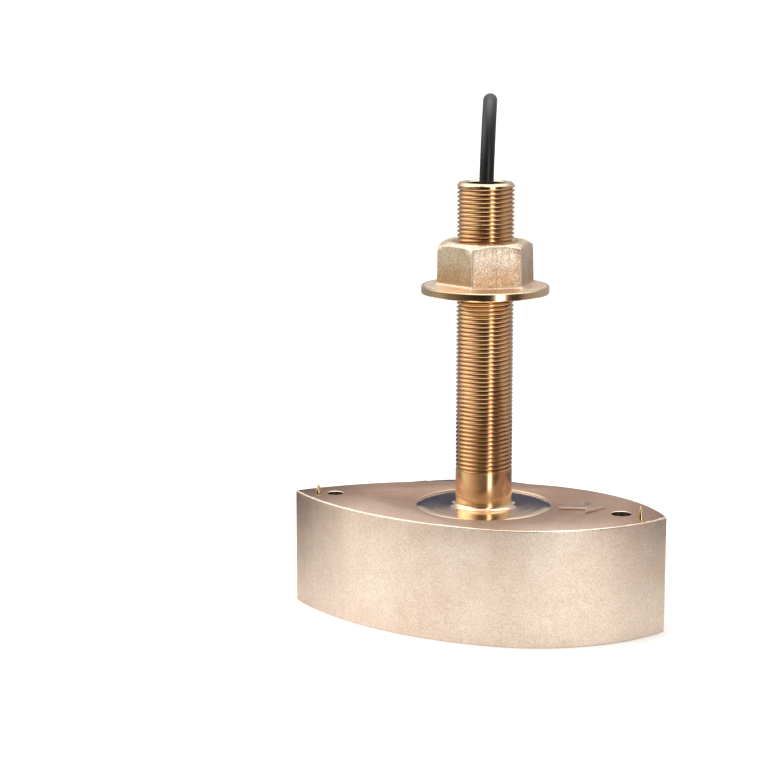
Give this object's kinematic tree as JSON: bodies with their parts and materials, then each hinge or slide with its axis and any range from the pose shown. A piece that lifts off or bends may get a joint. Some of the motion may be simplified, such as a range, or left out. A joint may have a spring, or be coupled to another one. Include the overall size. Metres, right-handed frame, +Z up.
{
  "type": "sonar transducer",
  "caption": "Through-hull sonar transducer: pointed oval bronze housing, threaded stem with a flanged hull nut, and a coiled cable with its connector.",
  "frame": {"origin": "middle of the housing's underside", "axes": "+Z up along the stem, +X towards the bow end of the housing, +Y to port"},
  "size_m": [0.2259, 0.2679, 0.2634],
  "materials": {
    "cast_bronze": "sand-cast bronze, machined where turned",
    "machined_bronze": "bright machined bronze",
    "urethane": "dark cast urethane, satin",
    "silvered_ceramic": "ceramic with silvered faces",
    "cork_carrier": "cork and rubber sheet",
    "pressure_release_foam": "closed-cell foam",
    "tinned_copper": "tinned copper",
    "stainless_steel": "stainless steel",
    "board_laminate": "glass-fibre laminate",
    "ferrite": "grey-black ferrite",
    "nylon": "black nylon",
    "copper_wire": "enamelled copper wire",
    "potting_compound": "black potting compound",
    "cable_jacket": "black jacket, satin",
    "contact_insert": "moulded insert with gilt contacts"
  },
  "bodies": {
    "body": {"housing": "cast_bronze", "pin_aft": "machined_bronze", "pin_fore": "machined_bronze", "acoustic_window": "urethane", "element_tray": "cork_carrier", "contact_foil": "tinned_copper", "lead_live": "tinned_copper", "lead_ground": "tinned_copper", "backing_pad": "pressure_release_foam", "circuit_board": "board_laminate", "transformer_core_lower": "ferrite", "transformer_core_upper": "ferrite", "transformer_bobbin": "nylon", "transformer_winding": "copper_wire", "temperature_sensor": "stainless_steel", "potting_block": "potting_compound", "stem_potting": "potting_compound", "cable_inner": "cable_jacket", "cable": "cable_jacket", "cable_coil": "cable_jacket", "cable_tail": "cable_jacket", "connector_boot": "cable_jacket", "connector_body": "nylon", "connector_collar": "nylon", "connector_insert": "contact_insert", "coil_tie_1": "nylon", "coil_tie_2": "nylon", "ceramic_disc_1": "silvered_ceramic", "ceramic_disc_2": "silvered_ceramic", "ceramic_disc_3": "silvered_ceramic", "ceramic_disc_4": "silvered_ceramic", "ceramic_disc_5": "silvered_ceramic", "ceramic_disc_6": "silvered_ceramic", "ceramic_disc_7": "silvered_ceramic"},
    "nut": {"hull_nut": "cast_bronze"}
  },
  "joints": [
    {"name": "nut_travel", "type": "slide", "parent": "body", "child": "nut", "axis": [0, 0, 1], "range_m": [-0.088, 0.05]}
  ]
}
